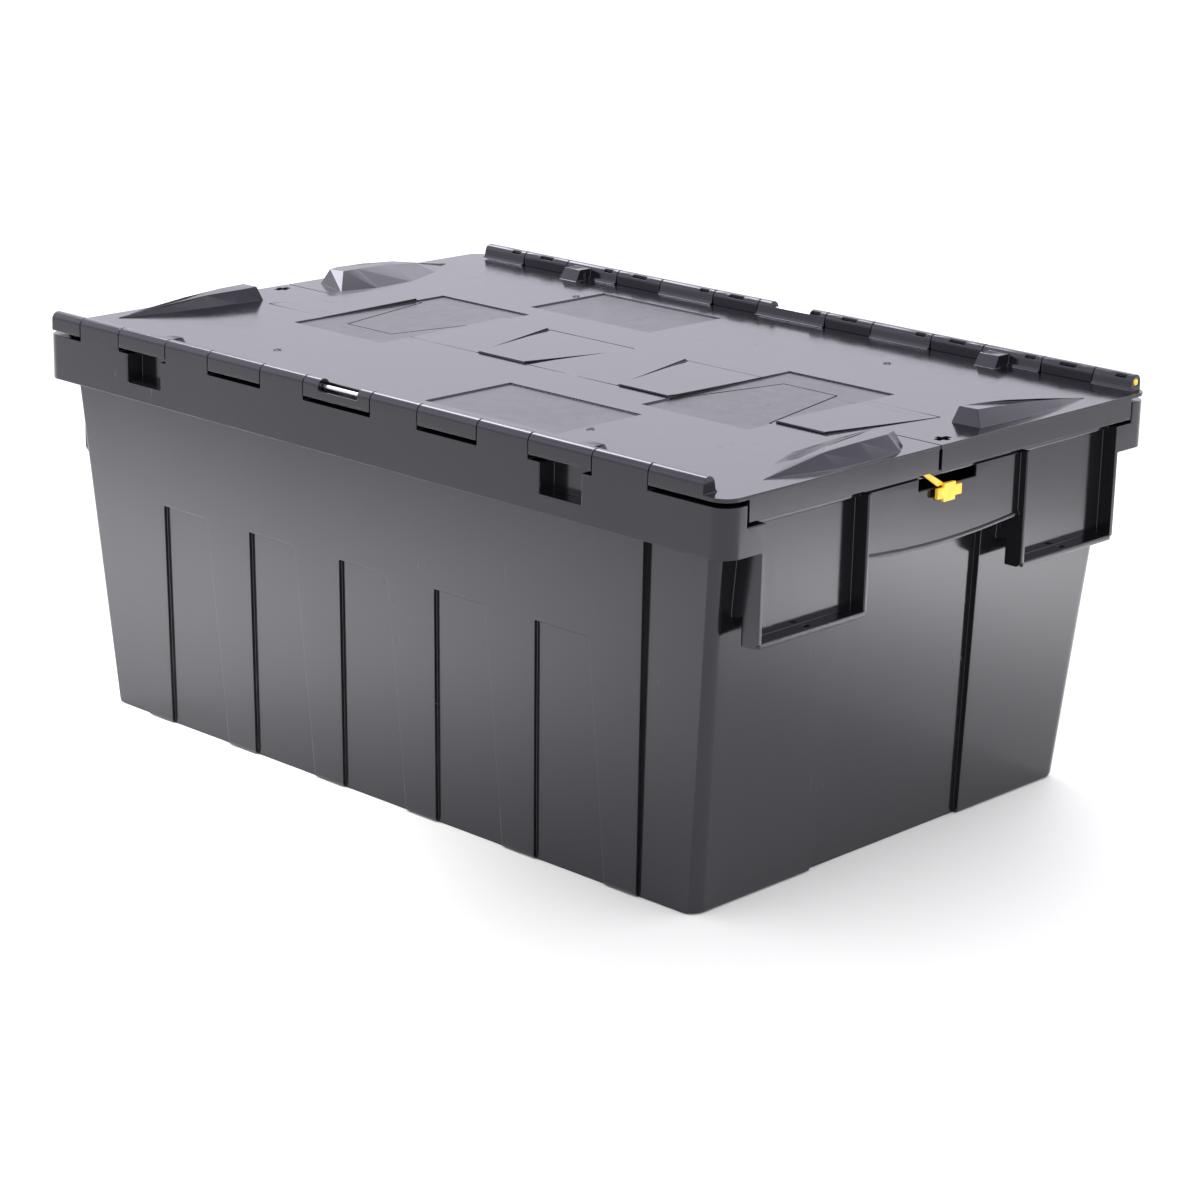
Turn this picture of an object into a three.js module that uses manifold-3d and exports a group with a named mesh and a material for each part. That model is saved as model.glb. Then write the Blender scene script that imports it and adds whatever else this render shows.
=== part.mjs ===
// Attached lid tote: a tapered tub with two interlocking lids, each hinged on a steel rod.
// Millimetres, +Z up. Origin: middle of the underside. X runs along the 600 mm side.
// The lid pieces are described for the front lid (hinged along -Y). The rear lid is the same
// moulding turned half a turn about Z, so every hinge feature of the tub repeats the same way.
import * as THREE from 'three';
import Module from 'manifold-3d';
import { mergeVertices } from 'three/addons/utils/BufferGeometryUtils.js';

const wasm = await Module();
wasm.setup();

// Driving dimensions
const HALF_LENGTH = 300;
const HALF_WIDTH = 200;
const RIM_CORNER = 12;
const BASE_HALF_X = 265;
const BASE_HALF_Y = 178;
const WALL_HALF_X = 283;
const WALL_HALF_Y = 193;
const WALL_CORNER = 13;
const WALL = 2.5;
const FLOOR = 3;
const SKIRT_BOTTOM = 223.5;
const RIM_TOP = 253.1;
const PANEL_RECESS = 2.4;
const END_RECESS = 3.5;

const LID_TOP = 258.5;
const LID_SHEET = 2.5;
const LID_UNDER = LID_TOP - LID_SHEET;
const LID_CORNER = 11;
const SEAM_GAP = 1;
const SEAM_END_Y = 12;

const PIN_Y = 195;
const PIN_Z = 263.3;
const KNUCKLE_R = 5;
const KNUCKLE_GAP = 0.6;
const BORE_R = 1.8;
const ROD_R = 1.4;

// Knuckle boundaries along the front hinge, from -X to +X: lid, tub, lid, ... lid
const KNUCKLE_EDGES = [-293, -263, -223, -176, -134, -84, -44, 16, 57, 107, 149, 199, 242, 283];
// Middles of the two lug windows in the front skirt
const WINDOW_X = [-197.5, 175];
const WINDOW_HALF = 16.5;
const WINDOW_BOTTOM = 234.5;
const WINDOW_BACK_Y = -187.7;

// Zigzag seam between the lids
const FINGER_PITCH = 124;
const FIRST_FINGER = -217;
const FINGER_COUNT = 4;
const FINGER_REACH = 43;
const FINGER_TIP_HALF = 21.5;
const FINGER_RISE = 1.4;

// End structure: riser, label pockets and hand grip
const END_STEP = 240.5;
const RISER_X = 293.5;
const CORNER_BLOCK_Y = 182;
const POCKET_IN_Y = 74;
const POCKET_OUT_Y = 169.5;
const POCKET_FRAME = 3;
const POCKET_BOTTOM = 167.5;
const POCKET_BACK_X = 290;
const PANEL_REAR_X = POCKET_BACK_X - WALL;
const POCKET_WEB_STEP = 15;
const GRIP_X = 295;
const GRIP_BOTTOM = 200.5;
const GRIP_NOTCH = { from: -25, to: 30, depth: 8.5 };
const FLANGE_X = 297.3;
const FLANGE_BOTTOM = 243;
const FLANGE_CLEAR = 1.2;

const PLASTIC = 0x2b2b2e;
const FAR = 20;

// ---- solids ----
function toSolid(geometry) {
  geometry.deleteAttribute('normal');
  geometry.deleteAttribute('uv');
  const merged = mergeVertices(geometry, 1e-4);
  return new wasm.Manifold(new wasm.Mesh({
    numProp: 3,
    vertProperties: new Float32Array(merged.attributes.position.array),
    triVerts: new Uint32Array(merged.index.array),
  }));
}

function toGeometry(solid) {
  const mesh = solid.getMesh();
  const geometry = new THREE.BufferGeometry();
  geometry.setAttribute('position', new THREE.BufferAttribute(new Float32Array(mesh.vertProperties), 3));
  geometry.setIndex(new THREE.BufferAttribute(new Uint32Array(mesh.triVerts), 1));
  return geometry;
}

function box(x0, x1, y0, y1, z0, z1) {
  const geometry = new THREE.BoxGeometry(x1 - x0, y1 - y0, z1 - z0);
  geometry.translate((x0 + x1) / 2, (y0 + y1) / 2, (z0 + z1) / 2);
  return toSolid(geometry);
}

function extruded(points, depth, steps = 1) {
  const shape = new THREE.Shape(points.map(([u, v]) => new THREE.Vector2(u, v)));
  return new THREE.ExtrudeGeometry(shape, { depth, steps, bevelEnabled: false });
}

function prismZ(points, z0, z1) {
  return toSolid(extruded(points, z1 - z0).translate(0, 0, z0));
}

const AXIS_X = new THREE.Vector3(1, 0, 0);
const AXIS_Y = new THREE.Vector3(0, 1, 0);
const AXIS_Z = new THREE.Vector3(0, 0, 1);

// Outline points are (y, z), pushed along X
function prismX(points, x0, x1) {
  const turn = new THREE.Matrix4().makeBasis(AXIS_Y, AXIS_Z, AXIS_X);
  return toSolid(extruded(points, x1 - x0).applyMatrix4(turn).translate(x0, 0, 0));
}

function cylinderX(y, z, radius, x0, x1, sides = 12) {
  const geometry = new THREE.CylinderGeometry(radius, radius, x1 - x0, sides);
  geometry.rotateZ(Math.PI / 2);
  geometry.translate((x0 + x1) / 2, y, z);
  return toSolid(geometry);
}

function roundedRectangle(halfX, halfY, radius, cornerSteps = 8) {
  const points = [];
  const corners = [[1, 1, 0], [-1, 1, 1], [-1, -1, 2], [1, -1, 3]];
  for (const [sx, sy, quarter] of corners) {
    for (let i = 0; i <= cornerSteps; i += 1) {
      const angle = (quarter + i / cornerSteps) * Math.PI / 2;
      const x = sx * (halfX - radius) + radius * Math.cos(angle);
      const y = sy * (halfY - radius) + radius * Math.sin(angle);
      points.push([x, y]);
    }
  }
  return points;
}

// An extrusion whose layers are scaled and lifted: layers are { z, scaleX, scaleY }
function layered(points, layers) {
  const last = layers.length - 1;
  const geometry = extruded(points, last, last);
  const position = geometry.attributes.position;
  for (let i = 0; i < position.count; i += 1) {
    const layer = layers[Math.round(position.getZ(i))];
    const x = position.getX(i) * layer.scaleX;
    position.setXYZ(i, x, position.getY(i) * layer.scaleY, layer.z);
  }
  return toSolid(geometry);
}

// A frustum between two outlines with the same number of points; the top has its own heights
function hullBetween(base, baseZ, top) {
  const geometry = extruded(base, 1);
  const position = geometry.attributes.position;
  for (let i = 0; i < position.count; i += 1) {
    if (position.getZ(i) < 0.5) {
      position.setZ(i, baseZ);
    } else {
      const same = ([x, y]) => Math.hypot(x - position.getX(i), y - position.getY(i)) < 1e-3;
      const match = top[base.findIndex(same)];
      position.setXYZ(i, match[0], match[1], match[2]);
    }
  }
  return toSolid(geometry);
}

function union(solids) {
  return solids.reduce((sum, solid) => sum.add(solid));
}

function withHalfTurn(solid) {
  return solid.add(solid.rotate([0, 0, 180]));
}

// ---- shared hinge outlines, (y, z) across the front hinge ----
function knuckleOutline(bottom, innerFoot) {
  const points = [...innerFoot];
  const steps = 8;
  for (let i = 0; i <= steps; i += 1) {
    const angle = i / steps * Math.PI;
    points.push([-PIN_Y + KNUCKLE_R * Math.cos(angle), PIN_Z + KNUCKLE_R * Math.sin(angle)]);
  }
  points.push([-PIN_Y - KNUCKLE_R, bottom]);
  return points;
}

function knuckleSpans(firstEdge) {
  const spans = [];
  for (let i = firstEdge; i + 1 < KNUCKLE_EDGES.length; i += 2) {
    spans.push([KNUCKLE_EDGES[i] + KNUCKLE_GAP / 2, KNUCKLE_EDGES[i + 1] - KNUCKLE_GAP / 2]);
  }
  return spans;
}

// Narrow moulding slot in the crown of a knuckle
function crownSlot(middle, length) {
  return box(middle - length / 2, middle + length / 2, -PIN_Y + 2.4, -PIN_Y + 4.2, PIN_Z + 1.4, PIN_Z + FAR);
}

// ---- tub ----
function wallHalf(z) {
  const t = Math.min(z / SKIRT_BOTTOM, 1);
  return {
    x: BASE_HALF_X + (WALL_HALF_X - BASE_HALF_X) * t,
    y: BASE_HALF_Y + (WALL_HALF_Y - BASE_HALF_Y) * t,
  };
}

function tubBody(inset, bottomLayers, top) {
  const layers = [...bottomLayers, [SKIRT_BOTTOM, 0], [top, 0]].map(([z, extra]) => {
    const half = wallHalf(z);
    return {
      z,
      scaleX: (half.x - inset - extra) / (WALL_HALF_X - inset),
      scaleY: (half.y - inset - extra) / (WALL_HALF_Y - inset),
    };
  });
  const outline = roundedRectangle(WALL_HALF_X - inset, WALL_HALF_Y - inset, WALL_CORNER - inset);
  return layered(outline, layers);
}

// A slab that follows the sloping front wall: outline (x, z), from depth d0 to d1 inside the wall face
function frontWallSlab(outline, d0, d1) {
  const geometry = extruded(outline, 1);
  const position = geometry.attributes.position;
  for (let i = 0; i < position.count; i += 1) {
    const z = position.getY(i);
    const depth = position.getZ(i) < 0.5 ? d1 : d0;
    position.setXYZ(i, position.getX(i), -wallHalf(z).y + depth, z);
  }
  return toSolid(geometry);
}

function endWallSlab(outline, d0, d1) {
  const geometry = extruded(outline, 1);
  const position = geometry.attributes.position;
  for (let i = 0; i < position.count; i += 1) {
    const y = position.getX(i);
    const z = position.getY(i);
    const depth = position.getZ(i) < 0.5 ? d1 : d0;
    position.setXYZ(i, wallHalf(z).x - depth, y, z);
  }
  return toSolid(geometry);
}

// Outlines are (along, z) trapezoids; grown by a margin for the backing pad inside the tub
function trapezoid(low0, low1, high0, high1, z0, z1, grow) {
  return [[low0 - grow, z0], [low1 + grow, z0], [high1 + grow, z1 + grow], [high0 - grow, z1 + grow]];
}

const PANEL_LOW_Z = -8;
const PANEL_TOP_Z = 153.5;
const PANEL_PITCH = 84.8;
const PANEL_SHIFT = -2.6;
const PANEL_COUNT = 5;

function wallPanels(grow) {
  const outlines = [];
  for (let i = 0; i < PANEL_COUNT; i += 1) {
    const middle = PANEL_SHIFT + (i - (PANEL_COUNT - 1) / 2) * PANEL_PITCH;
    outlines.push(trapezoid(middle - 29.5, middle + 29.5, middle - 21.5, middle + 21.5,
      PANEL_LOW_Z, PANEL_TOP_Z, grow));
  }
  // the corner fields at both ends of the long wall
  const top = RIM_TOP - 2 * WALL;
  const outer = HALF_LENGTH + FAR;
  const left = { low: -225.5 + grow, high: -241 + grow };
  const right = { low: 221 - grow, high: 235 - grow };
  outlines.push([[-outer, PANEL_LOW_Z], [left.low, PANEL_LOW_Z], [left.high, top], [-outer, top]]);
  outlines.push([[right.low, PANEL_LOW_Z], [outer, PANEL_LOW_Z], [outer, top], [right.high, top]]);
  return outlines;
}

const END_PANEL = [-73, 72, -61, 55.5, PANEL_LOW_Z, 234];
const FOOT_TOP = 2.5;

// The recessed fields; backing grows them by the wall thickness, for the pads inside the tub
function wallRecesses(backing) {
  const slabs = wallPanels(backing).map((outline) => frontWallSlab(outline, -FAR, PANEL_RECESS + backing));
  slabs.push(endWallSlab(trapezoid(...END_PANEL, backing), -FAR, END_RECESS + backing));
  return withHalfTurn(union(slabs));
}

// Straight box, repeated on both ends and both halves of each end
function onEnds(x0, x1, y0, y1, z0, z1) {
  const right = box(x0, x1, y0, y1, z0, z1).add(box(x0, x1, -y1, -y0, z0, z1));
  return withHalfTurn(right);
}

function rim() {
  const outer = roundedRectangle(HALF_LENGTH, HALF_WIDTH, RIM_CORNER);
  const inner = roundedRectangle(HALF_LENGTH - WALL, HALF_WIDTH - WALL, RIM_CORNER - WALL);
  const ring = prismZ(outer, SKIRT_BOTTOM, RIM_TOP)
    .subtract(prismZ(inner, SKIRT_BOTTOM - 1, RIM_TOP - WALL));
  // the middle of each end is stepped back for the lid flanges, and open for pockets and grip
  const stepped = onEnds(RISER_X, HALF_LENGTH + 1, -1, CORNER_BLOCK_Y, END_STEP, RIM_TOP + 1);
  const open = onEnds(WALL_HALF_X, HALF_LENGTH + 1, -1, POCKET_OUT_Y - 1, SKIRT_BOTTOM - 1, RIM_TOP - WALL);
  return ring.subtract(stepped).subtract(open);
}

function riserAndCheeks() {
  const riser = onEnds(RISER_X - WALL, RISER_X, -1, CORNER_BLOCK_Y + WALL, END_STEP - WALL, RIM_TOP - 1);
  const cheek = onEnds(RISER_X - WALL, HALF_LENGTH - 1, CORNER_BLOCK_Y, CORNER_BLOCK_Y + WALL,
    END_STEP - WALL, RIM_TOP - 1);
  const ledge = onEnds(RISER_X - WALL, HALF_LENGTH, POCKET_OUT_Y - WALL, CORNER_BLOCK_Y + WALL,
    END_STEP - WALL, END_STEP);
  return riser.add(cheek).add(ledge);
}

const WEB_WALL_X = 278;

// Side web of a pocket, (x, z): deep at the front box, stepped up towards the wall
function pocketWeb(y0, y1) {
  const webLow = POCKET_BOTTOM + POCKET_WEB_STEP;
  const outline = [
    [WEB_WALL_X, webLow], [PANEL_REAR_X, webLow + 1.5], [PANEL_REAR_X, POCKET_BOTTOM],
    [HALF_LENGTH - 3, POCKET_BOTTOM], [HALF_LENGTH, POCKET_BOTTOM + 3],
    [HALF_LENGTH, END_STEP], [RISER_X - 1, END_STEP], [RISER_X - 1, RIM_TOP - 1], [WEB_WALL_X, RIM_TOP - 1],
  ];
  const turn = new THREE.Matrix4().makeBasis(AXIS_X, AXIS_Z, AXIS_Y.clone().negate());
  return toSolid(extruded(outline, y1 - y0).applyMatrix4(turn).translate(0, y1, 0));
}

function pockets() {
  const pieces = [];
  const spans = [[POCKET_IN_Y, POCKET_OUT_Y], [-POCKET_OUT_Y, -POCKET_IN_Y]];
  for (const [y0, y1] of spans) {
    pieces.push(pocketWeb(y0, y0 + POCKET_FRAME));
    pieces.push(pocketWeb(y1 - POCKET_FRAME, y1));
    pieces.push(box(PANEL_REAR_X, POCKET_BACK_X, y0 + 1, y1 - 1, POCKET_BOTTOM, RIM_TOP - 1));
    pieces.push(box(PANEL_REAR_X, HALF_LENGTH, y0 + 2, y1 - 2, POCKET_BOTTOM, POCKET_BOTTOM + 3.5));
  }
  const drains = [-122, 122].map((y) => box(293, 296.5, y - 2, y + 2, POCKET_BOTTOM - 1, POCKET_BOTTOM + 5));
  return withHalfTurn(union(pieces).subtract(union(drains)));
}

// Curved grip plate between the pockets, outline (y, z)
function grip() {
  const reach = POCKET_IN_Y + 1;
  const steps = 8;
  const lower = [];
  for (let i = 0; i <= steps; i += 1) {
    const u = -1 + 2 * i / steps;
    lower.push([u * reach, GRIP_BOTTOM - 4 * (1 - u * u)]);
  }
  const plateOutline = [...lower, [reach, END_STEP - 1], [-reach, END_STEP - 1]];
  const lipOutline = [...lower, ...lower.map(([y, z]) => [y, z + 2.4]).reverse()];
  const plate = prismX(plateOutline, GRIP_X - WALL, GRIP_X);
  const lip = prismX(lipOutline, GRIP_X - 5, GRIP_X + 1.2);
  const notchBottom = END_STEP - GRIP_NOTCH.depth;
  const notch = box(GRIP_X - FAR, GRIP_X + 1, GRIP_NOTCH.from, GRIP_NOTCH.to, notchBottom, END_STEP + 1);
  return withHalfTurn(plate.subtract(notch).add(lip));
}

function tubKnuckles() {
  const pieces = [];
  const bottom = RIM_TOP - 2;
  const outline = knuckleOutline(bottom, [[-PIN_Y + KNUCKLE_R, bottom]]);
  for (const [x0, x1] of knuckleSpans(1)) {
    const middle = (x0 + x1) / 2;
    pieces.push(prismX(outline, x0, x1).subtract(crownSlot(middle, 13)));
  }
  return withHalfTurn(union(pieces).subtract(cylinderX(-PIN_Y, PIN_Z, BORE_R, -HALF_LENGTH, HALF_LENGTH)));
}

function skirtRibs() {
  const ribs = [];
  const thickness = 2;
  for (const [x0, x1] of knuckleSpans(1)) {
    for (const x of [x0 + 8, x1 - 8 - thickness]) {
      ribs.push(box(x, x + thickness, -HALF_WIDTH + 1, -WALL_HALF_Y + 1, SKIRT_BOTTOM + 4, RIM_TOP - 1));
    }
  }
  return withHalfTurn(union(ribs));
}

function windowBoxes() {
  const shell = [];
  const cavity = [];
  for (const middle of WINDOW_X) {
    const x0 = middle - WINDOW_HALF;
    const x1 = middle + WINDOW_HALF;
    shell.push(box(x0 - 2, x1 + 2, -HALF_WIDTH + 1, WINDOW_BACK_Y + 2.2, WINDOW_BOTTOM - 2.5, RIM_TOP));
    cavity.push(box(x0, x1, -HALF_WIDTH - 1, WINDOW_BACK_Y, WINDOW_BOTTOM, RIM_TOP + 1));
  }
  return { shell: withHalfTurn(union(shell)), cavity: withHalfTurn(union(cavity)) };
}

function makeTub() {
  const outside = tubBody(0, [[0, 1.8], [0.7, 0.5], [FOOT_TOP, 0]], RIM_TOP)
    .subtract(wallRecesses(0));
  const hollow = tubBody(WALL, [[FLOOR, 4], [FLOOR + 4, 0]], RIM_TOP + 1);
  const pads = wallRecesses(WALL);
  const windows = windowBoxes();
  const frame = union([outside, rim(), riserAndCheeks(), pockets(), grip(), skirtRibs(), tubKnuckles()]);
  return frame
    .subtract(hollow.subtract(pads))
    .add(windows.shell)
    .subtract(windows.cavity);
}

// ---- lid ----
function lidOutline() {
  const half = SEAM_GAP / 2;
  const slope = (FINGER_PITCH / 2 - 2 * FINGER_TIP_HALF) / (2 * FINGER_REACH);
  const sideGap = 0.4;
  const tipY = FINGER_REACH - half;
  const rootY = -FINGER_REACH - half;
  const leftEnd = SEAM_END_Y - half;
  const rightEnd = -SEAM_END_Y - half;
  const points = [];
  const fingerX = (i) => FIRST_FINGER + i * FINGER_PITCH;
  const tipHalf = FINGER_TIP_HALF - sideGap;
  const rootHalf = FINGER_TIP_HALF + sideGap;
  points.push([-HALF_LENGTH, leftEnd]);
  points.push([fingerX(0) - tipHalf - (tipY - leftEnd) * slope, leftEnd]);
  for (let i = 0; i < FINGER_COUNT; i += 1) {
    const tip = fingerX(i);
    const valley = tip + FINGER_PITCH / 2;
    points.push([tip - tipHalf, tipY], [tip + tipHalf, tipY]);
    points.push([valley - rootHalf, rootY], [valley + rootHalf, rootY]);
  }
  const lastX = fingerX(FINGER_COUNT - 1) + FINGER_PITCH / 2 + rootHalf;
  points.push([lastX + (rightEnd - rootY) * slope, rightEnd], [HALF_LENGTH, rightEnd]);
  const corner = roundedRectangle(HALF_LENGTH, HALF_WIDTH, LID_CORNER);
  const lower = corner.filter(([, y]) => y < 0);
  // the lower half of the rectangle runs from -X to +X; the outline needs it the other way round
  return [...points, ...lower.reverse()].reverse();
}

// One raised finger: flush at its root, proud at its tip
function fingerCap(middle) {
  const tipHalf = FINGER_TIP_HALF - 0.9;
  const rootHalf = FINGER_PITCH / 2 - FINGER_TIP_HALF - 0.9;
  const tipY = FINGER_REACH - SEAM_GAP / 2;
  const base = [
    [middle - rootHalf, -FINGER_REACH], [middle + rootHalf, -FINGER_REACH],
    [middle + tipHalf, tipY], [middle - tipHalf, tipY],
  ];
  const top = base.map(([x, y]) => [x, y, LID_TOP + (y > 0 ? FINGER_RISE : 0.02)]);
  return hullBetween(base, LID_UNDER + 1, top);
}

// Boat-shaped stacking wedge; v is measured inwards from the seam side, on the end at sign side
function wedge(side, outlines) {
  const place = ([x, v, height]) => [side * x, -v, LID_TOP + (height ?? 0)];
  const base = outlines.base.map(place).map(([x, y]) => [x, y]);
  const top = outlines.top.map(place);
  if (side > 0) {
    base.reverse();
    top.reverse();
  }
  return hullBetween(base, LID_TOP - 1, top);
}

// Top points are [x, v, height over the lid]: a blunt nose that narrows to one ridge
const WEDGE_NEAR_SEAM = {
  base: [[283, 150], [262, 122], [249, 88], [247, 52], [254, 21],
    [287, 30], [295, 42], [297, 70], [296.5, 99]],
  top: [[283, 149, 0.3], [279, 121, 5], [277, 90, 7.8], [275, 56, 9.6], [273, 40, 9.9],
    [284, 37, 9.9], [287.5, 47, 10], [287, 70, 9.8], [285, 99, 8]],
};
const WEDGE_BY_SEAL = {
  base: [[286, 152], [277, 118], [272.5, 86], [270, 58], [268.3, 37.5],
    [289.7, 38.5], [291, 62], [291.3, 92], [290, 125]],
  top: [[285, 151, 0.3], [281, 117, 4.6], [276, 85, 7.6], [272, 58, 9.4], [270.4, 42.3, 9.8],
    [283.9, 42.8, 9.8], [284.8, 63, 9.1], [284.8, 92, 7.3], [285, 124, 4]],
};

function lidKnuckles() {
  const innerY = -PIN_Y + KNUCKLE_R;
  const foot = [[innerY + 2.6, LID_UNDER], [innerY + 2.6, LID_TOP], [innerY + 0.7, LID_TOP + 1.6]];
  const outline = knuckleOutline(LID_UNDER, foot);
  const pieces = knuckleSpans(0).map(([x0, x1]) => prismX(outline, x0, x1).subtract(crownSlot(x0 + 9, 8)));
  const rodWindow = box(-30, 5, -HALF_WIDTH - 1, -PIN_Y + KNUCKLE_R - 0.6, PIN_Z - 2, PIN_Z + FAR);
  const bore = cylinderX(-PIN_Y, PIN_Z, BORE_R, -HALF_LENGTH, 281);
  const mouth = cylinderX(-PIN_Y, PIN_Z, 2.7, -HALF_LENGTH - 1, -289, 16);
  return union(pieces).subtract(rodWindow).subtract(bore).subtract(mouth);
}

// Stop lugs behind two of the knuckles, which enter the skirt windows when the lid hangs open
const LUG_SHIFT = 7.5;
const LUG_HALF = 8.4;
const LUG_HEIGHT = 7.8;

function lidLugs() {
  const back = -PIN_Y + KNUCKLE_R - 1;
  const front = back + 17;
  const lugs = WINDOW_X.map((windowMiddle) => {
    const middle = windowMiddle + LUG_SHIFT;
    const base = [[-LUG_HALF, back], [LUG_HALF, back], [LUG_HALF, front], [-LUG_HALF, front]]
      .map(([x, y]) => [middle + x, y]);
    const top = base.map(([x, y]) => [
      middle + (x - middle) * 0.9,
      y === front ? front - 5.5 : back,
      LID_TOP + LUG_HEIGHT,
    ]);
    return hullBetween(base, LID_TOP - 1, top);
  });
  return union(lugs);
}

function lidRecesses() {
  const depth = 1;
  const low = LID_TOP - depth;
  const high = LID_TOP + FAR;
  return union([
    box(-200, -115, -70, FINGER_REACH + FAR, low, high),
    box(115, 200, -68, FINGER_REACH + FAR, low, high),
    box(22, 133, -160, -87, low, high),
  ]);
}

// Plus-shaped hole for the security seal, on the end where the other lid's wedge stands back
function sealHole() {
  const x = -290;
  const across = box(x - 2.2, x + 2.2, -8, 4, LID_UNDER - 1, LID_TOP + 1);
  const along = box(x - 4.5, x + 4.5, -4, 0, LID_UNDER - 1, LID_TOP + 1);
  return across.add(along);
}

function lidFlanges() {
  const seamClear = 1.5;
  const start = -CORNER_BLOCK_Y + FLANGE_CLEAR;
  const top = LID_UNDER + 1;
  const left = box(-HALF_LENGTH, -FLANGE_X, start, SEAM_END_Y - seamClear, FLANGE_BOTTOM, top);
  const right = box(FLANGE_X, HALF_LENGTH, start, -SEAM_END_Y - seamClear, FLANGE_BOTTOM, top);
  return left.add(right);
}

function makeLid() {
  const plate = prismZ(lidOutline(), LID_UNDER, LID_TOP);
  const notches = knuckleSpans(1).map(([x0, x1]) => box(x0 - KNUCKLE_GAP, x1 + KNUCKLE_GAP,
    -HALF_WIDTH - 1, -PIN_Y + KNUCKLE_R + 0.7, LID_UNDER - 1, LID_TOP + 1));
  const caps = [];
  for (let i = 0; i < FINGER_COUNT; i += 1) {
    caps.push(fingerCap(FIRST_FINGER + i * FINGER_PITCH));
  }
  return plate
    .subtract(union(notches))
    .add(union(caps))
    .subtract(lidRecesses())
    .add(union([lidKnuckles(), lidLugs(), lidFlanges(), wedge(1, WEDGE_NEAR_SEAM), wedge(-1, WEDGE_BY_SEAL)]))
    .subtract(sealHole())
    .subtract(cylinderX(-PIN_Y, PIN_Z, BORE_R, -HALF_LENGTH, 281));
}

// ---- small pieces ----
const ROD_START = -288;
const ROD_END = 279;

function makeRod() {
  const geometry = new THREE.CylinderGeometry(ROD_R, ROD_R, ROD_END - ROD_START, 16);
  geometry.rotateZ(Math.PI / 2);
  geometry.translate((ROD_START + ROD_END) / 2, -PIN_Y, PIN_Z);
  return geometry;
}

function makePlug() {
  const profile = [[0, 0], [2.35, 0], [2.35, 3.2], [0, 3.2]].map(([r, x]) => new THREE.Vector2(r, x));
  const geometry = new THREE.LatheGeometry(profile, 16);
  geometry.rotateZ(-Math.PI / 2);
  geometry.translate(-293, -PIN_Y, PIN_Z);
  return toGeometry(toSolid(geometry));
}

const SEAL_Z = 228.5;

function makeSeal() {
  const x0 = GRIP_X + 1.6;
  const arms = box(x0, x0 + 2.4, -11.5, 11.5, SEAL_Z - 3.2, SEAL_Z + 3.2);
  const stem = box(x0, x0 + 2.4, -5.5, 5.5, SEAL_Z - 5.5, SEAL_Z + 5.5);
  const strap = [[-9, 232.5], [-3, 233.5], [-19, 242.5], [-19, 249], [-23, 249], [-23, 241.5]];
  return arms.add(stem).add(prismX(strap, x0 - 1.2, x0 + 0.3));
}

// ---- scene graph ----
function plastic(name) {
  return new THREE.MeshStandardMaterial({ name, color: PLASTIC, roughness: 0.32, metalness: 0 });
}

const black = plastic('black_plastic');
const steel = new THREE.MeshStandardMaterial({
  name: 'steel', color: 0xc8c8cc, roughness: 0.25, metalness: 1,
});
const yellow = new THREE.MeshStandardMaterial({ name: 'yellow_plastic', color: 0xffc93c, roughness: 0.4 });

const tote = new THREE.Group();

function addMesh(name, geometry, material, turned = false) {
  const mesh = new THREE.Mesh(geometry, material);
  mesh.name = name;
  mesh.rotation.z = turned ? Math.PI : 0;
  tote.add(mesh);
}

const lidGeometry = toGeometry(makeLid());
addMesh('tub', toGeometry(makeTub()), black);
for (const [suffix, turned] of [['front', false], ['rear', true]]) {
  addMesh(`lid_${suffix}`, lidGeometry, black, turned);
  addMesh(`hinge_rod_${suffix}`, makeRod(), steel, turned);
  addMesh(`rod_plug_${suffix}`, makePlug(), yellow, turned);
}
addMesh('security_seal', toGeometry(makeSeal()), yellow);

export default tote;
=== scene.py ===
import math

import bmesh
import bpy
from mathutils import Matrix, Vector
from mathutils.bvhtree import BVHTree
from mathutils.kdtree import KDTree


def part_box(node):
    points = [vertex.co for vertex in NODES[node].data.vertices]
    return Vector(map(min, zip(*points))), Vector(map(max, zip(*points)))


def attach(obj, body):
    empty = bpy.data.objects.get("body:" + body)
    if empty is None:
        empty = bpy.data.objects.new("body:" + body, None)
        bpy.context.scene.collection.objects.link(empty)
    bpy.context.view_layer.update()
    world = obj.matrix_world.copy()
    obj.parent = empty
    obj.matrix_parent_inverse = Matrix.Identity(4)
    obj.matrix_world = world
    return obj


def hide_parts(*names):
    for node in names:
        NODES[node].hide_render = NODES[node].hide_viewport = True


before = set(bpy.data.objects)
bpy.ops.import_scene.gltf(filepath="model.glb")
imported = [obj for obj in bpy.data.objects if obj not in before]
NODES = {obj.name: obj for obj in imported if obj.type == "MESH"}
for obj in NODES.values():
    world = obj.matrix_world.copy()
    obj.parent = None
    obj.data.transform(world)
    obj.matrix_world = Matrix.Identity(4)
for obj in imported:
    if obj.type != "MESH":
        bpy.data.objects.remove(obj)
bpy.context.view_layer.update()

MM = 0.001
ROD_LOW, ROD_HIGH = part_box("hinge_rod_front")
PIN_Y = abs(ROD_LOW.y + ROD_HIGH.y) / 2
PIN_Z = (ROD_LOW.z + ROD_HIGH.z) / 2
ROD_R = (ROD_HIGH.z - ROD_LOW.z) / 2
LID_TOP = 258.5 * MM
LID_FIELD = LID_TOP - 1 * MM       # the sunken, finely grained fields of a lid
WEDGE_REACH = PIN_Y - 9 * MM       # the raised wedges lie nearer the middle than this
SKIRT_FOOT = 223.5 * MM
FIELD_HEAD = SKIRT_FOOT - 5 * MM   # the stepped fields of a long wall end below this
FIELD_OUT = 172 * MM               # and stand farther out than this
FOOT_TOP = 12 * MM
SKIRT_OUT_X, SKIRT_OUT_Y = 284 * MM, 196 * MM


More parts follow.
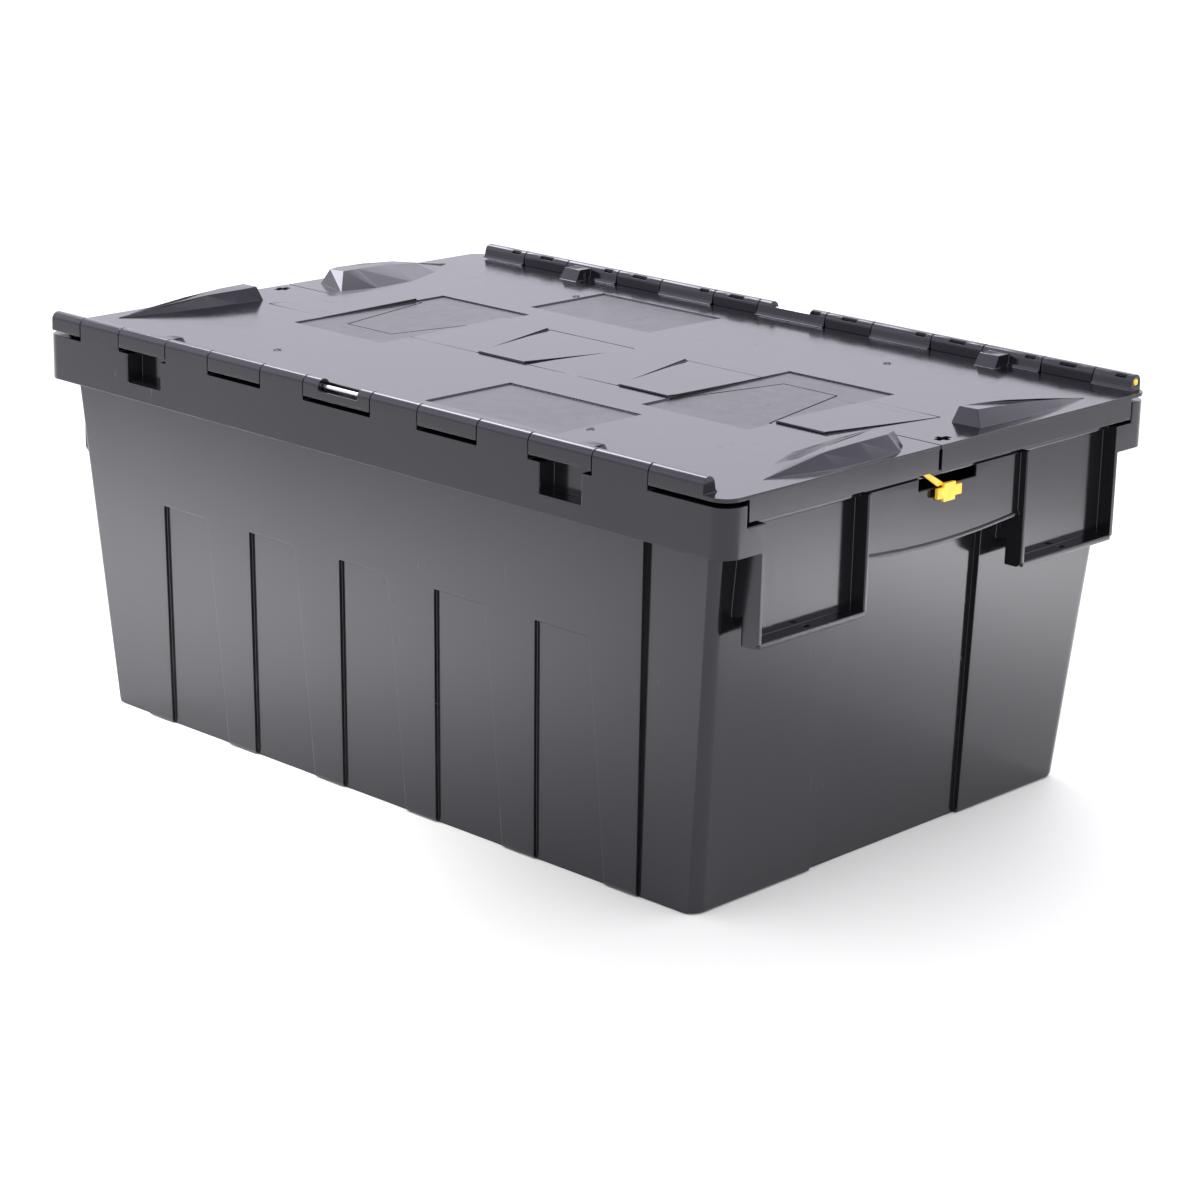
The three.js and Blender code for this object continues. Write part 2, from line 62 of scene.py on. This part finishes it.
# ---- camera, floor and light ----
def make_camera():
    """The photograph's view, fitted to the rim's corners and the base"""
    place = (1.3892, -1.4588, 0.7046)
    yaw, pitch, roll = 2.3243, -0.2937, 0.0235
    ahead = Vector((math.cos(pitch) * math.cos(yaw), math.cos(pitch) * math.sin(yaw), math.sin(pitch)))
    right = ahead.cross(Vector((0, 0, 1))).normalized()
    up = right.cross(ahead)
    turned_right = math.cos(roll) * right + math.sin(roll) * up
    turned_up = math.cos(roll) * up - math.sin(roll) * right
    turn = Matrix((turned_right, turned_up, -ahead)).transposed()
    data = bpy.data.cameras.new("photo_view")
    data.sensor_width = 36
    data.lens = 96.0
    camera = bpy.data.objects.new("photo_view", data)
    camera.matrix_world = Matrix.Translation(place) @ turn.to_4x4()
    bpy.context.scene.collection.objects.link(camera)
    bpy.context.scene.camera = camera


def make_floor():
    reach = 14.0
    drop = 0.2 * MM
    mesh = bpy.data.meshes.new("floor")
    corners = [(-reach, -reach), (reach, -reach), (reach, reach), (-reach, reach)]
    mesh.from_pydata([(x, y, -drop) for x, y in corners], [], [(0, 1, 2, 3)])
    floor = bpy.data.objects.new("floor", mesh)
    bpy.context.scene.collection.objects.link(floor)
    material = bpy.data.materials.new("pale_floor")
    material.use_nodes = True
    shader = material.node_tree.nodes["Principled BSDF"]
    shader.inputs["Base Color"].default_value = (0.87, 0.88, 0.80, 1)
    shader.inputs["Roughness"].default_value = 0.6
    mesh.materials.append(material)


def make_softbox(name, place, target, size, power, spread):
    """A soft light at place that faces target; size is (width, height), spread is in degrees"""
    data = bpy.data.lights.new(name, "AREA")
    data.shape = "RECTANGLE"
    data.size, data.size_y = size
    data.energy = power
    data.spread = math.radians(spread)
    data.color = (1.0, 0.985, 1.06)
    light = bpy.data.objects.new(name, data)
    aim = Vector(target) - Vector(place)
    light.rotation_euler = aim.to_track_quat("-Z", "Y").to_euler()
    light.location = place
    bpy.context.scene.collection.objects.link(light)


def make_light():
    world = bpy.data.worlds.new("studio")
    world.use_nodes = True
    nodes = world.node_tree.nodes
    links = world.node_tree.links
    coordinates = nodes.new("ShaderNodeTexCoord")
    split = nodes.new("ShaderNodeSeparateXYZ")
    ramp = nodes.new("ShaderNodeValToRGB")
    links.new(coordinates.outputs["Generated"], split.inputs["Vector"])
    links.new(split.outputs["Z"], ramp.inputs["Fac"])
    # brightest in a band above the horizon, calmer overhead, a little blue
    tint = (0.90, 0.885, 0.985)
    stops = [(0.0, 0.50), (0.20, 0.66), (0.33, 0.93), (0.45, 1.0), (0.65, 0.78), (1.0, 0.66)]
    elements = ramp.color_ramp.elements
    while len(elements) < len(stops):
        elements.new(0.5)
    for element, (place, level) in zip(elements, stops):
        element.position = place
        element.color = (*(level * share for share in tint), 1)
    background = nodes["Background"]
    links.new(ramp.outputs["Color"], background.inputs["Color"])
    background.inputs["Strength"].default_value = 2.15
    make_softbox("softbox_left", (-0.62, -0.335, 0.62), (-0.62, -0.335, 0), (1.15, 0.14), 3.4, 62)
    make_softbox("softbox_right", (0.62, 0.46, 0.72), (0.62, 0.46, 0), (0.3, 0.3), 2.2, 52)
    make_softbox("softbox_behind", (-1.9, 0.85, 2.2), (0, 0, 0.2), (1.0, 1.0), 6, 90)
    bpy.context.scene.world = world
    bpy.context.scene.view_settings.view_transform = "Standard"


# ---- materials ----
class Nodes:
    """Short forms for building one material."""

    def __init__(self, name):
        self.material = bpy.data.materials.new(name)
        self.material.use_nodes = True
        self.tree = self.material.node_tree
        self.shader = self.tree.nodes["Principled BSDF"]
        self.place = self.tree.nodes.new("ShaderNodeTexCoord").outputs["Object"]

    def link(self, value, socket):
        """value is a number or a colour to set, or another node's output to join"""
        if isinstance(value, (int, float, tuple)):
            socket.default_value = value
        else:
            self.tree.links.new(value, socket)

    def stretched(self, scale):
        node = self.tree.nodes.new("ShaderNodeMapping")
        node.inputs["Scale"].default_value = scale
        self.tree.links.new(self.place, node.inputs["Vector"])
        return node.outputs["Vector"]

    def noise(self, scale, stretch=(1, 1, 1), detail=2.0, roughness=0.5):
        node = self.tree.nodes.new("ShaderNodeTexNoise")
        self.tree.links.new(self.stretched(stretch), node.inputs["Vector"])
        node.inputs["Scale"].default_value = scale
        node.inputs["Detail"].default_value = detail
        node.inputs["Roughness"].default_value = roughness
        return node.outputs["Fac"]

    def specks(self, scale, radius, share):
        """1 inside small dots: one dot in some of the cells of a cellular pattern"""
        node = self.tree.nodes.new("ShaderNodeTexVoronoi")
        self.tree.links.new(self.place, node.inputs["Vector"])
        node.inputs["Scale"].default_value = scale
        dot = self.math("LESS_THAN", node.outputs["Distance"], radius)
        split = self.tree.nodes.new("ShaderNodeSeparateColor")
        self.tree.links.new(node.outputs["Color"], split.inputs["Color"])
        chosen = self.math("LESS_THAN", split.outputs["Red"], share)
        return self.math("MULTIPLY", dot, chosen)

    def math(self, operation, a, b=0.0, c=0.0):
        node = self.tree.nodes.new("ShaderNodeMath")
        node.operation = operation
        for value, socket in zip((a, b, c), node.inputs):
            self.link(value, socket)
        return node.outputs[0]

    def band(self, value, low, high, out_low=0.0, out_high=1.0):
        """value from low to high, mapped to out_low .. out_high and held there"""
        node = self.tree.nodes.new("ShaderNodeMapRange")
        ends = {"From Min": low, "From Max": high, "To Min": out_low, "To Max": out_high}
        for name, number in ends.items():
            node.inputs[name].default_value = number
        self.link(value, node.inputs["Value"])
        return node.outputs["Result"]

    def mix(self, factor, a, b):
        node = self.tree.nodes.new("ShaderNodeMix")
        node.data_type = "RGBA"
        self.link(factor, node.inputs[0])
        self.link(a, node.inputs[6])
        self.link(b, node.inputs[7])
        return node.outputs[2]

    def bump(self, height, strength, distance, normal=None):
        node = self.tree.nodes.new("ShaderNodeBump")
        node.inputs["Strength"].default_value = strength
        node.inputs["Distance"].default_value = distance
        self.link(height, node.inputs["Height"])
        if normal is not None:
            self.tree.links.new(normal, node.inputs["Normal"])
        return node.outputs["Normal"]


# tones of the materials, linear RGBA
BLACK_DEEP, BLACK_PALE = (0.0045, 0.0045, 0.0052, 1), (0.0075, 0.0075, 0.0085, 1)
SCUFF_GREY = (0.16, 0.16, 0.17, 1)
STEEL_DARK, STEEL_BRIGHT = (0.52, 0.53, 0.55, 1), (0.72, 0.72, 0.74, 1)
YELLOW_DEEP, YELLOW_PALE = (0.92, 0.53, 0.02, 1), (1.0, 0.62, 0.05, 1)


def scratches(n):
    """Fine hairlines in three directions, where a coarse noise lets them show"""
    total = None
    for turn, stretch in enumerate([(3, 260, 60), (240, 4, 70), (150, 170, 5)]):
        lines = n.band(n.noise(1.0, stretch, detail=1.0), 0.735, 0.75)
        where = n.band(n.noise(9.0 + turn * 3), 0.56, 0.62)
        lines = n.math("MULTIPLY", lines, where)
        total = lines if total is None else n.math("MAXIMUM", total, lines)
    return total


def wear_marks(n):
    """Hairline scratches, specks of dust and fainter fine dust"""
    hairlines = scratches(n)
    dust = n.specks(80.0, 0.035, 0.06)
    fine_dust = n.specks(240.0, 0.09, 0.05)
    return n.math("MAXIMUM", hairlines, n.math("MAXIMUM", dust, n.math("MULTIPLY", fine_dust, 0.6)))


def moulded_plastic(name, grain_level=None):
    """Glossy black polypropylene; grain_level is the height of finely grained fields, if any"""
    n = Nodes(name)
    shader = n.shader
    cloud = n.noise(5.0, detail=3.0)
    flow = n.noise(2.2, (1, 14, 3), detail=3.0)
    streaks = n.noise(1.0, (90, 90, 2.5), detail=4.0, roughness=0.7)
    marks = wear_marks(n)
    tone = n.mix(n.band(cloud, 0.35, 0.7), BLACK_DEEP, BLACK_PALE)
    tone = n.mix(n.math("MULTIPLY", marks, 0.11), tone, SCUFF_GREY)
    n.link(tone, shader.inputs["Base Color"])
    rough = n.band(streaks, 0.3, 0.75, 0.10, 0.17)
    rough = n.math("ADD", rough, n.math("MULTIPLY", n.band(cloud, 0.4, 0.75), 0.04))
    rough = n.math("ADD", rough, n.math("MULTIPLY", marks, 0.16))
    grain = n.noise(900.0, detail=1.0)
    if grain_level is not None:
        split = n.tree.nodes.new("ShaderNodeSeparateXYZ")
        n.tree.links.new(n.place, split.inputs["Vector"])
        away = n.math("ABSOLUTE", n.math("SUBTRACT", split.outputs["Z"], grain_level))
        field = n.math("LESS_THAN", away, 0.25 * MM)
        rough = n.math("ADD", rough, n.math("MULTIPLY", field, 0.16))
        grain = n.math("MULTIPLY", grain, n.math("ADD", n.math("MULTIPLY", field, 2.5), 0.35))
    n.link(rough, shader.inputs["Roughness"])
    shader.inputs["IOR"].default_value = 1.5
    shader.inputs["Specular Tint"].default_value = (1.0, 0.98, 1.10, 1)
    normal = n.bump(flow, 0.10, 0.6 * MM)
    normal = n.bump(streaks, 0.05, 0.12 * MM, normal)
    normal = n.bump(grain, 0.16, 0.05 * MM, normal)
    normal = n.bump(marks, -0.4, 0.03 * MM, normal)
    n.link(normal, shader.inputs["Normal"])
    return n.material


def drawn_steel():
    n = Nodes("drawn_steel")
    lines = n.noise(1.0, (6, 900, 900), detail=2.0)
    n.link(n.mix(n.band(lines, 0.3, 0.7), STEEL_DARK, STEEL_BRIGHT), n.shader.inputs["Base Color"])
    n.shader.inputs["Metallic"].default_value = 1.0
    n.link(n.band(lines, 0.2, 0.8, 0.16, 0.34), n.shader.inputs["Roughness"])
    n.link(n.bump(lines, 0.2, 0.03 * MM), n.shader.inputs["Normal"])
    return n.material


def yellow_plastic():
    n = Nodes("yellow_moulded_plastic")
    cloud = n.noise(160.0, detail=3.0)
    grain = n.noise(1500.0, detail=1.0)
    n.link(n.mix(n.band(cloud, 0.35, 0.7), YELLOW_DEEP, YELLOW_PALE), n.shader.inputs["Base Color"])
    n.link(n.band(cloud, 0.3, 0.7, 0.28, 0.42), n.shader.inputs["Roughness"])
    n.shader.inputs["Subsurface Weight"].default_value = 0.08
    n.shader.inputs["Subsurface Radius"].default_value = (0.002, 0.001, 0.0004)
    n.link(n.bump(grain, 0.2, 0.05 * MM), n.shader.inputs["Normal"])
    return n.material


# ---- pieces ----
def add_piece(name, mesh, body, slot, material, *nodes):
    """A visible piece on a body, standing for the CAD nodes named last, if any"""
    piece = bpy.data.objects.new(name, mesh)
    bpy.context.scene.collection.objects.link(piece)
    mesh.materials.clear()
    mesh.materials.append(material)
    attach(piece, body)
    if nodes:
        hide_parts(*nodes)
    return piece


def strays(piece, surface, reach):
    """Points of the finished piece that stand off the surface that it was made from"""
    finished = piece.evaluated_get(bpy.context.evaluated_depsgraph_get())
    mesh = finished.to_mesh()
    found = []
    for vertex in mesh.vertices:
        near, _, _, distance = surface.find_nearest(vertex.co)
        if near is None or distance > reach:
            found.append(vertex.co.copy())
    finished.to_mesh_clear()
    return found


def edges_at_corners(mesh):
    """The edges that meet at each corner, and the length of each edge"""
    joined = [[] for _ in mesh.vertices]
    lengths = []
    for edge in mesh.edges:
        near, far = edge.vertices
        lengths.append((mesh.vertices[near].co - mesh.vertices[far].co).length)
        joined[near].append(edge.index)
        joined[far].append(edge.index)
    return joined, lengths


def ease_tight_corners(piece, reach):
    """Where the radius throws points more than reach off the surface, takes it off the short edges
    there, and from the third attempt on looks wider and halves it on the long edges too"""
    attempts, patience = 6, 2
    around = 4.5 * MM
    long_edge = 40 * MM
    mesh = piece.data
    surface = BVHTree.FromPolygons([v.co for v in mesh.vertices], [tuple(p.vertices) for p in mesh.polygons])
    weights = mesh.attributes["bevel_weight_edge"].data
    corners = KDTree(len(mesh.vertices))
    for vertex in mesh.vertices:
        corners.insert(vertex.co, vertex.index)
    corners.balance()
    joined, lengths = edges_at_corners(mesh)
    for attempt in range(attempts):
        bad = strays(piece, surface, reach)
        if not bad:
            break
        tight = {corners.find(place)[1] for place in bad}
        if attempt >= patience:
            tight |= {near[1] for place in bad for near in corners.find_range(place, around)}
        for edge in {edge for corner in tight for edge in joined[corner]}:
            if lengths[edge] <= long_edge:
                weights[edge].value = 0
                mesh.edges[edge].use_edge_sharp = True
            elif attempt >= patience:
                weights[edge].value *= 0.5
        mesh.update_tag()
        bpy.context.view_layer.update()


def soften_edges(piece, width, reach, segments=2):
    """Rounds each edge by width times its own bevel weight, and leaves sharp the few edges
    where a radius would not fit"""
    bevel = piece.modifiers.new("edge_radius", "BEVEL")
    bevel.width = width
    bevel.segments = segments
    bevel.limit_method = "WEIGHT"
    bevel.use_clamp_overlap = False
    bevel.miter_outer = "MITER_ARC"
    ease_tight_corners(piece, reach)
    for polygon in piece.data.polygons:
        polygon.use_smooth = True
    normals = piece.modifiers.new("flat_faces_stay_flat", "WEIGHTED_NORMAL")
    normals.weight = 100
    normals.keep_sharp = True


def faceted_copy(node, weigh):
    """The CAD node's surface with its coplanar triangles joined into whole faces; weigh gives the
    bevel weight of a sharp edge"""
    weld, shortest = 0.005 * MM, 0.7 * MM
    flat, corner = math.radians(0.6), math.radians(24)
    work = bmesh.new()
    work.from_mesh(NODES[node].data)
    bmesh.ops.remove_doubles(work, verts=work.verts, dist=weld)
    bmesh.ops.dissolve_limit(work, angle_limit=flat, verts=work.verts, edges=work.edges)
    bmesh.ops.triangulate(work, faces=[f for f in work.faces if len(f.verts) > 4])
    weights = work.edges.layers.float.new("bevel_weight_edge")
    for edge in work.edges:
        sharp = len(edge.link_faces) == 2 and edge.calc_face_angle() > corner
        if sharp and edge.calc_length() > shortest:
            edge[weights] = weigh(edge)
        edge.smooth = edge[weights] > 0 or not (sharp or crisp(edge))
    mesh = bpy.data.meshes.new(node + "_surface")
    work.to_mesh(mesh)
    work.free()
    return mesh


def crisp(edge):
    """True for the low creases of the raised wedges, which are folds between flat facets"""
    if len(edge.link_faces) != 2 or edge.calc_face_angle() < math.radians(1.5):
        return False
    return all(v.co.z > LID_TOP - 0.3 * MM and abs(v.co.y) < WEDGE_REACH for v in edge.verts)


def tub_edge(edge):
    """Radius of a tub edge over the widest radius: wide on the faded edges of the stepped
    fields, middling along the skirt and rim, small elsewhere"""
    ends = [v.co for v in edge.verts]
    along = ends[0] - ends[1]
    on_field = all(abs(p.y) > FIELD_OUT and p.z < FIELD_HEAD for p in ends)
    above_foot = all(p.z > FOOT_TOP for p in ends)
    if edge.is_convex and on_field and (above_foot or abs(along.z) > 60 * MM):
        level = abs(along.z) < 0.3 * abs(along.x)
        side = sum(f.normal.x for f in edge.link_faces) * (1 if ends[0].y > 0 else -1)
        return 0.8 if level else 1.0 if side > 0.3 else 0.3
    outermost = all(abs(p.x) > SKIRT_OUT_X or abs(p.y) > SKIRT_OUT_Y for p in ends)
    if edge.is_convex and outermost and edge.calc_length() > 6 * MM:
        return 0.65
    return 0.2 if all(p.z < FOOT_TOP for p in ends) else 0.33


def lid_edge(edge):
    """Radius of a lid edge over the widest radius: wide on the outer edges of the raised wedges"""
    raised = all(v.co.z > LID_TOP + 1 * MM and abs(v.co.y) < WEDGE_REACH for v in edge.verts)
    return 0.7 if raised and edge.is_convex else 0.4


def make_shells(tub_plastic, lid_plastic):
    """The three mouldings, with the CAD's surfaces and rounded edges"""
    tub = add_piece("tub_shell", faceted_copy("tub", tub_edge), "tub", "tub_plastic", tub_plastic, "tub")
    soften_edges(tub, 1.3 * MM, 0.6 * MM, 3)
    for end in ("front", "rear"):
        name = f"lid_{end}"
        lid = add_piece(name + "_shell", faceted_copy(name, lid_edge), name, "lid_plastic", lid_plastic, name)
        soften_edges(lid, 1.0 * MM, 0.3 * MM)


def turned(profile, segments=40):
    """A surface of revolution about an axis along X; profile is a list of (x, radius)"""
    work = bmesh.new()
    rings = []
    for x, radius in profile:
        ring = []
        for step in range(segments):
            turn = 2 * math.pi * step / segments
            ring.append(work.verts.new((x, radius * math.cos(turn), radius * math.sin(turn))))
        rings.append(ring)
    for ring, after in zip(rings, rings[1:]):
        for step in range(segments):
            near = (step + 1) % segments
            work.faces.new((ring[step], ring[near], after[near], after[step]))
    work.faces.new(list(reversed(rings[0])))
    work.faces.new(rings[-1])
    bmesh.ops.recalc_face_normals(work, faces=work.faces)
    mesh = bpy.data.meshes.new("turned")
    work.to_mesh(mesh)
    work.free()
    for polygon in mesh.polygons:
        polygon.use_smooth = len(polygon.vertices) == 4
    return mesh


def make_rods(steel):
    """Steel rods with chamfered ends and a shallow score near each end"""
    chamfer = 0.35 * MM
    inset, half_score, half_floor, depth = 9 * MM, 0.5 * MM, 0.2 * MM, 0.12 * MM
    for end, side in (("front", -1), ("rear", 1)):
        low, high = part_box(f"hinge_rod_{end}")
        profile = [(low.x, ROD_R - chamfer), (low.x + chamfer, ROD_R)]
        for score in (low.x + inset, high.x - inset):
            profile += [(score - half_score, ROD_R), (score - half_floor, ROD_R - depth),
                        (score + half_floor, ROD_R - depth), (score + half_score, ROD_R)]
        profile += [(high.x - chamfer, ROD_R), (high.x, ROD_R - chamfer)]
        mesh = turned(profile, 28)
        mesh.transform(Matrix.Translation((0, side * PIN_Y, PIN_Z)))
        add_piece(f"steel_rod_{end}", mesh, "tub", "rod_steel", steel, f"hinge_rod_{end}")


def plug_outline():
    """The plug's outline from its shank to its dimpled face: places along it as shares of its
    length, and radii as shares of its head's radius"""
    shank = [(0, 0.80), (0.12, 0.92), (0.55, 0.92)]
    head = [(0.58, 0.995), (0.72, 0.995)]
    turns = [math.pi / 2 * step / 6 for step in range(1, 6)]
    dome = [(0.72 + 0.28 * math.sin(turn), 0.45 + 0.545 * math.cos(turn)) for turn in turns]
    dimple = [(1, 0.30), (0.94, 0.22)]
    return shank + head + dome + dimple


def make_plugs(yellow):
    """Yellow end plugs: a push-in shank, a thin head with a domed face"""
    for end, side in (("front", -1), ("rear", 1)):
        low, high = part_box(f"rod_plug_{end}")
        head = (high.z - low.z) / 2
        inner, face = (low.x, high.x) if side > 0 else (high.x, low.x)
        mesh = turned([(inner + (face - inner) * along, head * out) for along, out in plug_outline()])
        mesh.transform(Matrix.Translation((0, side * PIN_Y, PIN_Z)))
        add_piece(f"yellow_plug_{end}", mesh, f"lid_{end}", "yellow_plastic", yellow, f"rod_plug_{end}")


def make_seal(yellow):
    """The yellow one-way seal in the grip's notch"""
    mesh = faceted_copy("security_seal", lambda edge: 1.0)
    seal = add_piece("yellow_seal", mesh, "tub", "yellow_plastic", yellow, "security_seal")
    soften_edges(seal, 0.35 * MM, 0.3 * MM, 3)


def gate_star():
    """The torn sprue of an injection point: a low disc with an uneven star standing on it"""
    steps = 16
    long_point, short_point, hollow, disc = 2.9 * MM, 1.9 * MM, 1.3 * MM, 3.4 * MM
    tip, rise, sunk = 0.9 * MM, 0.42 * MM, -0.1 * MM
    work = bmesh.new()
    top = work.verts.new((0, 0, tip))
    ring, foot = [], []
    for step in range(steps):
        turn = 2 * math.pi * step / steps
        reach = long_point if step % 4 == 0 else short_point if step % 2 == 0 else hollow
        reach *= 1 + 0.16 * math.sin(step * 2.3)
        ring.append(work.verts.new((reach * math.cos(turn), reach * math.sin(turn), rise)))
        foot.append(work.verts.new((disc * math.cos(turn), disc * math.sin(turn), sunk)))
    for step in range(steps):
        near = (step + 1) % steps
        work.faces.new((top, ring[step], ring[near]))
        work.faces.new((ring[step], foot[step], foot[near], ring[near]))
    work.faces.new(list(reversed(foot)))
    bmesh.ops.recalc_face_normals(work, faces=work.faces)
    mesh = bpy.data.meshes.new("gate_star")
    work.to_mesh(mesh)
    work.free()
    return mesh


def make_gate_marks(plastic):
    """Two injection points on each lid; the rear lid's are the front lid's turned half a turn"""
    places = [(-142 * MM, -135 * MM), (138 * MM, -137 * MM)]
    for end, side in (("front", 1), ("rear", -1)):
        for index, (x, y) in enumerate(places):
            mesh = gate_star()
            mesh.transform(Matrix.Translation((side * x, side * y, LID_TOP)))
            add_piece(f"gate_mark_{end}_{index}", mesh, f"lid_{end}", "lid_plastic", plastic)


make_camera()
make_floor()
make_light()

TUB_PLASTIC = moulded_plastic("tub_black_plastic")
LID_PLASTIC = moulded_plastic("lid_black_plastic", LID_FIELD)
STEEL = drawn_steel()
YELLOW = yellow_plastic()

make_shells(TUB_PLASTIC, LID_PLASTIC)
make_gate_marks(LID_PLASTIC)
make_rods(STEEL)
make_plugs(YELLOW)
make_seal(YELLOW)
